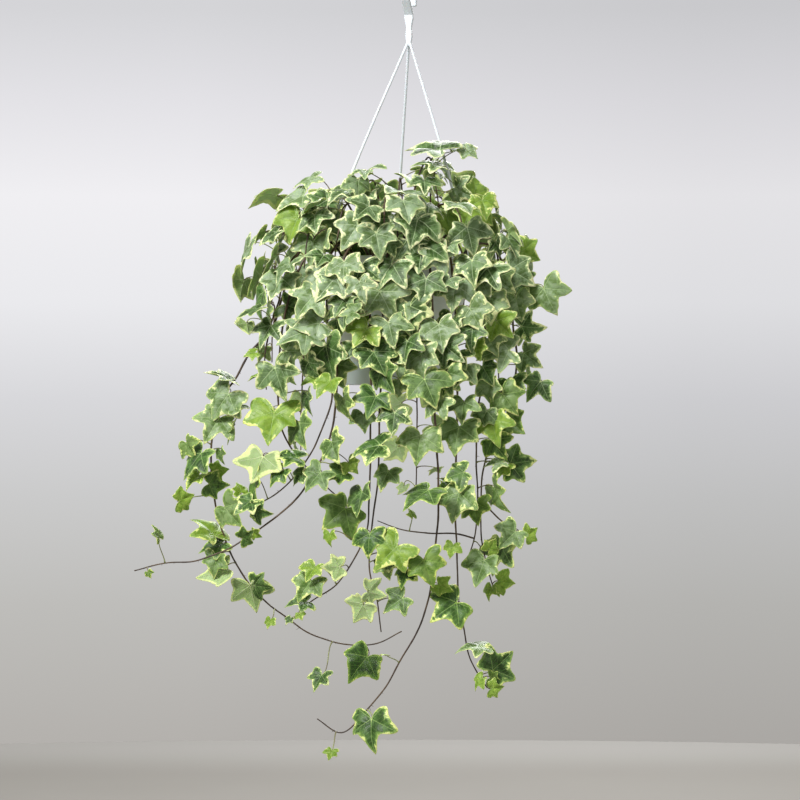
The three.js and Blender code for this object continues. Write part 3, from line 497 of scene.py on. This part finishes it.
def make_hanger():
    """The frame's own shape, remeshed fine and relaxed so that its moulded edges are soft."""
    hanger = make_object("hanger_moulding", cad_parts["hanger"].data.copy())
    hanger.data.materials.clear()
    remesh = hanger.modifiers.new("fine", "REMESH")
    remesh.mode = "VOXEL"
    remesh.voxel_size = HANGER_VOXEL
    relax = hanger.modifiers.new("relax", "SMOOTH")
    relax.factor = 0.5
    relax.iterations = 9
    regain = hanger.modifiers.new("regain", "DISPLACE")
    regain.strength = HANGER_REGAIN
    regain.mid_level = 0
    bpy.context.view_layer.update()
    shape = hanger.evaluated_get(bpy.context.evaluated_depsgraph_get())
    mesh = bpy.data.meshes.new_from_object(shape)
    hanger.modifiers.clear()
    hanger.data = mesh
    smooth_shaded(mesh)
    mesh.materials.clear()
    mesh.materials.append(
        moulded_plastic("hanger_plastic", rgb(222, 228, 234), rgb(212, 219, 226), 0.5,
                        grain=0.01 * MM, depth=0.02))
    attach(hanger, "root")
    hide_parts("hanger")


def make_soil():
    """Crumbly peat: a lumpy top and loose crumbs, over the frame's soil."""
    rng = random.Random(11)
    top_radius = LIP_OUTSIDE - WALL - 5 * MM
    top = -SOIL_DEPTH - 0.5 * MM
    bm = bmesh.new()
    grid = []
    for i in range(SOIL_RINGS + 1):
        edge_drop = 2 * MM if i == SOIL_RINGS else 0
        row = []
        for k in range(SOIL_SIDES if i else 1):
            x, y = on_circle(top_radius * i / SOIL_RINGS, TURN * k / SOIL_SIDES)
            lump = 1.6 * noise.noise(Vector((x, y, 0)) * 90)
            lump += 1.1 * noise.noise(Vector((x, y, 5)) * 320)
            row.append(bm.verts.new((x, y, top + lump * MM - edge_drop)))
        grid.append(row)
    for low, high in zip(grid, grid[1:]):
        for k in range(SOIL_SIDES):
            n = (k + 1) % SOIL_SIDES
            corners = list(dict.fromkeys([low[k % len(low)], high[k], high[n], low[n % len(low)]]))
            bm.faces.new(corners)
    outer = grid[-1]
    base_radius = POT_FOOT_RADIUS - WALL - 0.5 * MM
    floor = -POT_HEIGHT + WALL + 0.4 * MM
    base = [bm.verts.new((*on_circle(base_radius, TURN * k / SOIL_SIDES), floor))
            for k in range(SOIL_SIDES)]
    for k in range(SOIL_SIDES):
        n = (k + 1) % SOIL_SIDES
        bm.faces.new([outer[k], base[k], base[n], outer[n]])
    bm.faces.new(base[::-1])
    for _ in range(CRUMBS):
        radius = top_radius * math.sqrt(rng.random()) * 0.95
        angle = rng.uniform(0, TURN)
        size = rng.uniform(0.8, 2.4) * MM
        crumb = bmesh.ops.create_icosphere(bm, subdivisions=2, radius=size)["verts"]
        stretch = [rng.uniform(0.6, 1.3) for _ in range(3)]
        at = Vector((*on_circle(radius, angle), top + rng.uniform(0, 1.2) * MM))
        seed = Vector((rng.random(), rng.random(), rng.random())) * 50
        for v in crumb:
            rough = 1 + 0.45 * noise.noise(v.co / size * 1.3 + seed)
            v.co = at + Vector([c * s * rough for c, s in zip(v.co, stretch)])
    soil = object_in_pot("soil_crumbs", bm, peat())
    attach(soil, "root")
    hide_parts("soil")


# ---------- ivy ----------
# Half of a leaf's outline, from its tip round the right side to the notch at the petiole, in
# lengths of the middle lobe, with the petiole at (0, 0) and the tip at (0, 1).
HALF_LEAF = [(0, 1.0), (0.085, 0.88), (0.20, 0.73), (0.30, 0.60), (0.40, 0.52), (0.53, 0.51),
             (0.67, 0.48), (0.80, 0.42), (0.77, 0.28), (0.71, 0.14), (0.67, 0.02),
             (0.66, -0.10), (0.63, -0.23), (0.55, -0.35), (0.41, -0.35), (0.25, -0.29),
             (0.11, -0.18), (0.03, -0.06), (0, 0.0)]
LEAF_SINUSES = [(0.58, 0.38), (1.56, 0.36)]  # angle of each cut between lobes, and its breadth
LEAF_HEART = np.array((0.0, 0.16))  # the blade's rings close in on this point
LEAF_RINGS = [0.22, 0.45, 0.66, 0.82, 0.93, 1.0]
EDGE_POINTS = 60
BLADE_HALF_THICKNESS = 0.32 * MM
# The frame's own leaves and stems, by which they are found in its welded mesh.
CAD_LATERAL = 0.80  # how far out its leaves have their side lobes
CAD_DROOP = 0.22
TOP_SPOKES = 10  # edges that meet in the middle of a leaf's top and of its underside
UNDER_SPOKES = 9
STEM_RADIUS = 1.5 * MM  # half the diagonal of its square stems, and of their side branches
BRANCH_RADIUS = 1.25 * MM
SLACK = 0.03 * MM
WELD = 0.004 * MM
PEG_Z = -302 * MM  # lower end of each shoot's root, in the soil
# What is built in their place.
ROUND_STEM = 1.15 * MM  # radius of a shoot's main stem at its root, and of its branches
ROUND_BRANCH = 0.85 * MM
STEM_STEP = 3 * MM
STEM_SIDES, PETIOLE_SIDES, ROOTLET_SIDES = 8, 6, 4
ROOTLETS_PER_STEP = 0.10
# The greying with height is partly the crown's real grey-green and partly painted sheen, paler
# where light from above falls.
CROWN_FROM, CROWN_RISE = -500 * MM, 220 * MM  # leaves turn greyer from this height over this rise
SMALL_LEAF = 19 * MM


def along_curve(points, count):
    """count points evenly along a smooth closed curve through points."""
    points = np.asarray(points, float)
    spans = []
    for i in range(len(points)):
        a, b, c, d = (points[(i + k) % len(points)] for k in (-1, 0, 1, 2))
        t = np.linspace(0, 1, 12, endpoint=False)[:, None]
        spans.append(0.5 * (2 * b + (c - a) * t + (2 * a - 5 * b + 4 * c - d) * t ** 2
                            + (3 * b - a - 3 * c + d) * t ** 3))
    line = np.vstack(spans + [spans[0][:1]])
    far = np.concatenate([[0], np.cumsum(np.linalg.norm(np.diff(line, axis=0), axis=1))])
    want = np.linspace(0, far[-1], count, endpoint=False)
    return np.stack([np.interp(want, far, line[:, k]) for k in (0, 1)], 1)


def leaf_outline(rng, deepest):
    """One leaf's outline, a little different from every other one's."""
    cut = rng.uniform(0, deepest)

    def half(sign):
        lateral, basal = rng.uniform(0.84, 1.08), rng.uniform(0.74, 1.12)
        made = []
        for x, y in HALF_LEAF:
            angle = math.atan2(x, y)
            stretch = 1.0
            if 0.7 < angle < 1.7:
                stretch = lateral
            elif angle >= 1.7:
                stretch = basal
            for sinus, breadth in LEAF_SINUSES:
                stretch *= 1 - cut * max(0.0, 1 - abs(angle - sinus) / breadth)
            made.append((sign * x * stretch, y * stretch))
        return made
    right, left = half(1), half(-1)
    outline = along_curve(right[:-1] + left[::-1][:-1], EDGE_POINTS)
    wave = rng.uniform(*PHASES)
    turn = np.arctan2(outline[:, 0], outline[:, 1])
    outline *= (1 + 0.020 * np.sin(11 * turn + wave) + 0.010 * np.sin(23 * turn - wave))[:, None]
    return outline


def blade_grid(outline):
    """Leaf coordinates (x, y), distance from the margin, and faces of one side of the blade."""
    spokes = outline - LEAF_HEART
    spots = [LEAF_HEART[None]] + [LEAF_HEART + spokes * r for r in LEAF_RINGS]
    flat = np.vstack(spots)
    radius = np.linalg.norm(spokes, axis=1)
    edge = np.concatenate([[0.4]] + [radius * (1 - r) * 0.72 for r in LEAF_RINGS])
    faces = []
    n = len(outline)
    for k in range(n):
        faces.append((0, 1 + (k + 1) % n, 1 + k))
    for ring in range(len(LEAF_RINGS) - 1):
        low, high = 1 + ring * n, 1 + (ring + 1) * n
        for k in range(n):
            m = (k + 1) % n
            faces.append((low + k, low + m, high + m, high + k))
    return flat, edge, faces


def leaf_height(flat, rng):
    """How far each point of the blade stands over its flat plane, in lobe lengths."""
    x, y = flat[:, 0], flat[:, 1]
    reach = np.hypot(x, y)
    turn = np.arctan2(x, y)
    veins = (0.0, LATERAL_ANGLE, BASAL_ANGLE)
    off = np.min([np.abs(np.abs(turn) - vein) for vein in veins], axis=0)
    puff = np.clip(np.sin(off * 3.0), 0, 1) * reach * (1.15 - reach).clip(0)
    droop = -CAD_DROOP * (x ** 2 + 0.5 * y ** 2)
    fold = rng.uniform(0.02, 0.30) * np.sqrt(x ** 2 + 0.002)
    curl = -rng.uniform(-0.10, 0.34) * (reach - 0.40).clip(0) ** 2 * 1.6
    wave = rng.uniform(0.02, 0.06) * reach ** 2 * np.sin(4 * turn + rng.uniform(*PHASES))
    ripple = 0.020 * reach ** 2 * np.sin(9 * turn + rng.uniform(*PHASES))
    crimp = 0.008 * reach ** 2 * np.sin(17 * turn + rng.uniform(*PHASES))
    twist = rng.uniform(-0.22, 0.22) * x * y
    return droop + fold + curl + wave + ripple + crimp + twist + 0.20 * puff


def ring_about(vert, first):
    """The neighbours of a vertex, counter-clockwise seen from outside, from first on."""
    after = {}
    for face in vert.link_faces:
        corners = list(face.verts)
        at = corners.index(vert)
        after[corners[(at + 1) % 3]] = corners[(at + 2) % 3]
    ring = [first]
    while len(ring) < len(after) and after.get(ring[-1]) not in (None, first):
        ring.append(after[ring[-1]])
    return ring


def neighbours(vert):
    return {edge.other_vert(vert) for edge in vert.link_edges}


def find_leaves(bm):
    """The frame's leaves: (top middle, bottom middle, ring round the top middle)."""
    found = []
    for top in bm.verts:
        if len(top.link_edges) != TOP_SPOKES:
            continue
        around = neighbours(top)
        unders = {v for n in around for v in neighbours(n)
                  if v is not top and v not in around and len(v.link_edges) == UNDER_SPOKES
                  and neighbours(v) < around}
        if len(unders) != 1:
            continue
        bottom = unders.pop()
        spine = (around - neighbours(bottom)).pop()
        ring = ring_about(top, spine)
        if len(ring) == TOP_SPOKES:
            found.append((top, bottom, ring))
    return found


class Blades:
    """The leaves of one shoot, gathered into one mesh."""

    def __init__(self):
        self.points, self.faces, self.under = [], [], []
        self.flat, self.look = [], []
        self.count = 0

    def add(self, joint, across, along, face, length, look, rng):
        """One leaf: its joint with the petiole, its three directions, its length and its look."""
        grey_and_sheen = look[2]
        outline = leaf_outline(rng, 0.10 + 0.18 * grey_and_sheen)
        flat, edge, faces = blade_grid(outline)
        height = leaf_height(flat, rng)
        height -= height[np.argmin(np.hypot(flat[:, 0], flat[:, 1]))]
        n = len(outline)
        count = len(flat)
        base = (joint + np.outer(flat[:, 0] * length, across)
                + np.outer(flat[:, 1] * length, along) + np.outer(height * length, face))
        thick = BLADE_HALF_THICKNESS * np.minimum(1, 0.35 + edge * 8)[:, None] * face
        self.points += [base + thick, base - thick]
        here = self.count
        self.faces += [tuple(here + v for v in f) for f in faces]
        self.under += [0] * len(faces)
        self.faces += [tuple(here + count + v for v in f[::-1]) for f in faces]
        self.under += [1] * len(faces)
        rim = count - n
        for k in range(n):
            m = (k + 1) % n
            self.faces.append((here + rim + k, here + rim + m,
                               here + count + rim + m, here + count + rim + k))
            self.under.append(0)
        coordinates = np.column_stack([flat, edge])
        self.flat += [coordinates, coordinates]
        self.look += [np.tile(look, (2 * count, 1))]
        self.count += 2 * count

    def mesh(self, name, materials):
        made = bpy.data.meshes.new(name)
        made.from_pydata(np.vstack(self.points).tolist(), [], self.faces)
        flat = made.attributes.new("leaf_xy", "FLOAT_VECTOR", "POINT")
        flat.data.foreach_set("vector", np.vstack(self.flat).astype(np.float32).ravel())
        look = made.attributes.new("leaf_look", "FLOAT_COLOR", "POINT")
        look.data.foreach_set("color", np.vstack(self.look).astype(np.float32).ravel())
        for material in materials:
            made.materials.append(material)
        made.polygons.foreach_set("material_index", self.under)
        smooth_shaded(made)
        return made


def leaf_look(joint, face, length, rng):
    """Seed, width of the cream margin, greyness and youth of one leaf; the greyness is partly the
    crown's real grey-green and partly painted sheen.
    """
    high = min(1.0, max(0.0, (joint.z - CROWN_FROM) / CROWN_RISE))
    # Painted sheen, in part: leaves higher up and facing up are made greyer and paler, as light
    # from above would show them; the rest is real grey-green colouring and chance.
    grey_and_sheen = min(1.0, max(0.0, 0.18 + 0.75 * high + 0.25 * face.z + rng.uniform(-0.3, 0.25)))
    cream = rng.choice([0.7, 0.9, 1.0, 1.2, 1.6]) * (0.85 + 0.35 * high)
    small = length < SMALL_LEAF
    young = 0.8 if small and rng.random() < 0.6 else (0.75 if rng.random() < 0.08 else 0.0)
    return (rng.random(), cream, grey_and_sheen * (1 - young), young)


def stem_sections(bm):
    """The frame's square stem sections: centres, radii, and the long edges between them."""
    tree = KDTree(len(bm.verts))
    bm.verts.ensure_lookup_table()
    for v in bm.verts:
        tree.insert(v.co, v.index)
    tree.balance()
    centres, radii, owner = [], [], {}
    for v in bm.verts:
        near = tree.find_range(v.co, 2 * STEM_RADIUS + SLACK)
        for radius in (STEM_RADIUS, BRANCH_RADIUS):
            for co, other, far in near:
                if other <= v.index or abs(far - 2 * radius) > SLACK:
                    continue
                corners = [k for at, k, side in near
                           if abs(side - radius * math.sqrt(2)) < SLACK
                           and abs((at - co).length - radius * math.sqrt(2)) < SLACK]
                if not corners:
                    continue
                centre = (v.co + co) / 2
                same = [i for i, c in enumerate(centres) if (c - centre).length < 0.3 * MM]
                if not same:
                    centres.append(centre)
                    radii.append(radius)
                for corner in (v.index, other, *corners):
                    owner[corner] = same[0] if same else len(centres) - 1
    links = {}
    for edge in bm.edges:
        a, b = (owner.get(v.index) for v in edge.verts)
        if a is None or b is None or a == b or radii[a] != radii[b]:
            continue
        links[tuple(sorted((a, b)))] = (centres[a] - centres[b]).length
    return centres, radii, links


def stem_paths(centres, radii, links):
    """Lines of section centres, each with its radius, from the shortest links that join them."""
    group = list(range(len(centres)))
    joined = {i: [] for i in group}
    for a, b in sorted(links, key=lambda pair: (links[pair], pair)):
        if group[a] == group[b]:
            continue
        old = group[b]
        group = [group[a] if g == old else g for g in group]
        joined[a].append(b)
        joined[b].append(a)
    paths = []
    for g in sorted(set(group)):
        members = [i for i in range(len(centres)) if group[i] == g]
        if len(members) < 2:
            continue
        ends = [i for i in members if len(joined[i]) <= 1]
        root = [i for i in members if abs(centres[i].z - PEG_Z) < MM]
        path = max((longest_from(end, joined) for end in root or ends), key=len)
        paths.append(([centres[i] for i in path], radii[path[0]], bool(root)))
    return paths


def longest_from(end, joined):
    best, stack = [end], [[end]]
    while stack:
        path = stack.pop()
        if len(path) > len(best):
            best = path
        stack += [path + [n] for n in joined[path[-1]] if n not in path]
    return best


def in_order(paths):
    """The main stem from its root in the soil to its tip, and the side branches."""
    main = next(path for path, _, rooted in paths if rooted)
    more = [path for path, radius, rooted in paths if radius == STEM_RADIUS and not rooted]
    while more:
        path = min(more, key=lambda q: min((q[0] - main[-1]).length, (q[-1] - main[-1]).length))
        more.remove(path)
        if (path[-1] - main[-1]).length < (path[0] - main[-1]).length:
            path = path[::-1]
        main += path
    branches = []
    for path, radius, _ in paths:
        if radius == STEM_RADIUS:
            continue
        gaps = [min((end - p).length for p in main) for end in (path[0], path[-1])]
        branches.append(path[::-1] if gaps[1] < gaps[0] else path)
    return main, branches


def smooth_line(points, step):
    """Points every step or so along a smooth open curve through points."""
    pts = np.array([tuple(p) for p in points])
    pts = np.vstack([2 * pts[0] - pts[1], pts, 2 * pts[-1] - pts[-2]])
    made = []
    for a, b, c, d in zip(pts, pts[1:], pts[2:], pts[3:]):
        knots = [0.0]
        for p, q in ((a, b), (b, c), (c, d)):
            knots.append(knots[-1] + max(1e-6, math.sqrt(np.linalg.norm(q - p))))
        t0, t1, t2, t3 = knots
        count = max(2, int(np.linalg.norm(c - b) / step))
        for t in np.linspace(t1, t2, count, endpoint=False):
            a1 = (t1 - t) / (t1 - t0) * a + (t - t0) / (t1 - t0) * b
            a2 = (t2 - t) / (t2 - t1) * b + (t - t1) / (t2 - t1) * c
            a3 = (t3 - t) / (t3 - t2) * c + (t - t2) / (t3 - t2) * d
            b1 = (t2 - t) / (t2 - t0) * a1 + (t - t0) / (t2 - t0) * a2
            b2 = (t3 - t) / (t3 - t1) * a2 + (t - t1) / (t3 - t1) * a3
            made.append((t2 - t) / (t2 - t1) * b1 + (t - t1) / (t2 - t1) * b2)
    made.append(pts[-2])
    return np.array(made)


class Wood:
    """Round tapering tubes of one shoot, gathered into one mesh."""

    def __init__(self):
        self.points, self.faces, self.green = [], [], []

    def tube(self, line, radii, sides, green):
        line = np.asarray(line)
        ahead = np.gradient(line, axis=0)
        ahead /= np.linalg.norm(ahead, axis=1)[:, None]
        up = np.cross(ahead[0], (0.31, 0.95, 0.05))
        first = len(self.points)
        for i, (centre, way, radius) in enumerate(zip(line, ahead, radii)):
            up = up - way * np.dot(up, way)
            up /= np.linalg.norm(up)
            side = np.cross(way, up)
            for k in range(sides):
                t = TURN * k / sides
                self.points.append(centre + radius * (math.cos(t) * up + math.sin(t) * side))
                self.green.append(green)
            if i:
                here, back = first + i * sides, first + (i - 1) * sides
                for k in range(sides):
                    n = (k + 1) % sides
                    self.faces.append((back + k, back + n, here + n, here + k))
        self.faces.append(tuple(range(first, first + sides))[::-1])
        last = first + (len(line) - 1) * sides
        self.faces.append(tuple(range(last, last + sides)))

    def mesh(self, name, material):
        made = bpy.data.meshes.new(name)
        made.from_pydata([tuple(p) for p in self.points], [], self.faces)
        green = made.attributes.new("petiole", "FLOAT", "POINT")
        green.data.foreach_set("value", self.green)
        made.materials.append(material)
        smooth_shaded(made)
        return made


def stem_tube(wood, line, radius, rng, tip=0.5):
    """A woody stem: tapering, a little crooked, with a swelling every so often."""
    count = len(line)
    run = np.linspace(0, 1, count)
    radii = radius * (1 - (1 - tip) * run ** 1.6)
    phase = rng.uniform(*PHASES)
    radii = radii * (1 + 0.10 * np.clip(np.sin(np.arange(count) * 0.62 + phase), 0.3, 1)
                     + 0.05 * np.sin(np.arange(count) * 1.9 + phase))
    bend = np.array([[noise.noise(Vector(p) * 45 + Vector((k * 9.1, 0, phase))) for k in range(3)]
                     for p in line])
    line = line + bend * 0.7 * MM * np.minimum(1, np.arange(count) / 6)[:, None]
    wood.tube(line, radii, STEM_SIDES, 0.0)
    return line


def petiole(wood, line, joint, along, face):
    """A leaf's stalk, from the nearest point of its stem up and over to the blade."""
    gaps = np.linalg.norm(line - joint, axis=1)
    start = line[int(np.argmin(gaps))]
    span = np.linalg.norm(joint - start)
    leave = (joint - start) / max(span, 1e-6)
    leave = leave + np.array((0, 0, 0.6))
    leave /= np.linalg.norm(leave)
    arrive = along + 0.7 * face
    arrive /= np.linalg.norm(arrive)
    t = np.linspace(0, 1, 12)[:, None]
    one, two = start + leave * span / 3, joint - arrive * span / 3
    curve = ((1 - t) ** 3 * start + 3 * (1 - t) ** 2 * t * one + 3 * (1 - t) * t ** 2 * two
             + t ** 3 * joint)
    radii = np.interp(t[:, 0], (0, 0.12, 0.85, 1), (0.95, 0.58, 0.46, 0.62)) * MM
    wood.tube(curve, radii, PETIOLE_SIDES, 1.0)


def rootlets(wood, line, rng):
    """Short clinging roots along the older part of a stem."""
    for i in range(8, len(line) - 6):
        if rng.random() > ROOTLETS_PER_STEP:
            continue
        way = np.array([rng.uniform(-1, 1) for _ in range(3)])
        ahead = line[i + 1] - line[i]
        ahead /= np.linalg.norm(ahead)
        way -= ahead * np.dot(way, ahead)
        way /= np.linalg.norm(way)
        length = rng.uniform(1.6, 4.2) * MM
        t = np.linspace(0, 1, 4)[:, None]
        curl = ahead * rng.uniform(-0.5, 0.5) + np.array((0, 0, -0.2))
        wood.tube(line[i] + way * length * t + curl * length * t ** 2,
                  np.array([0.34, 0.26, 0.18, 0.08]) * MM, ROOTLET_SIDES, 0.0)


def leaf_pose(top, bottom, ring):
    """A frame leaf's joint with its petiole, three directions (across, along, face) and length."""
    spine, right, *outline, left = ring
    joint = (spine.co + right.co + left.co) / 3
    reach = outline[1].co - outline[5].co
    across = reach.normalized()
    face = (top.co - bottom.co).normalized()
    along = face.cross(across).normalized()
    return joint, (across, along, across.cross(along)), reach.length / (2 * CAD_LATERAL)


def swayed(ways, grey_and_sheen, rng):
    """A leaf's three directions turned a little; the greyer a leaf, the more it may turn."""
    across, along, face = ways
    free = 0.4 + 0.6 * grey_and_sheen
    sway = Matrix.Identity(3)
    for axis, most in ((along, 0.4), (across, 0.3), (face, 0.5)):
        sway = Matrix.Rotation(free * rng.uniform(-most, most), 3, axis) @ sway
    return [sway @ way for way in ways]


def make_shoot(node, materials, bark_material):
    rng = random.Random(node)
    bm = bmesh.new()
    bm.from_mesh(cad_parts[node].data)
    bmesh.ops.remove_doubles(bm, verts=bm.verts, dist=WELD)
    bmesh.ops.triangulate(bm, faces=bm.faces)
    blades, wood = Blades(), Wood()
    stalks = []
    for found in find_leaves(bm):
        joint, ways, length = leaf_pose(*found)
        look = leaf_look(joint, ways[2], length, rng)
        ways = swayed(ways, look[2], rng)
        joint, across, along, face = (np.array(v) for v in (joint, *ways))
        blades.add(joint, across, along, face, length, look, rng)
        stalks.append((joint, along, face))
    main, branches = in_order(stem_paths(*stem_sections(bm)))
    bm.free()
    axis = stem_tube(wood, smooth_line(main, STEM_STEP), ROUND_STEM, rng)
    lines = [axis]
    rootlets(wood, axis, rng)
    for branch in branches:
        root = axis[int(np.argmin(np.linalg.norm(axis - np.array(branch[0]), axis=1)))]
        line = smooth_line([Vector(root), *branch], STEM_STEP)
        lines.append(stem_tube(wood, line, ROUND_BRANCH, rng))
    everywhere = np.vstack(lines)
    for stalk in stalks:
        petiole(wood, everywhere, *stalk)
    stem = make_object(node + "_stem", wood.mesh(node + "_stem", bark_material))
    leaf = make_object(node + "_leaves", blades.mesh(node + "_leaves", materials))
    for piece in (stem, leaf):
        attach(piece, "root")
        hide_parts(node)


make_camera()
make_world()
make_floor()
for lamp in LAMPS:
    area_light(*lamp)
make_pot()
make_saucer()
make_hanger()
make_soil()
LEAF_MATERIALS = [leaf_top(), leaf_under()]
BARK = bark()
for node in sorted(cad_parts):
    if node.startswith("shoot_"):
        make_shoot(node, LEAF_MATERIALS, BARK)
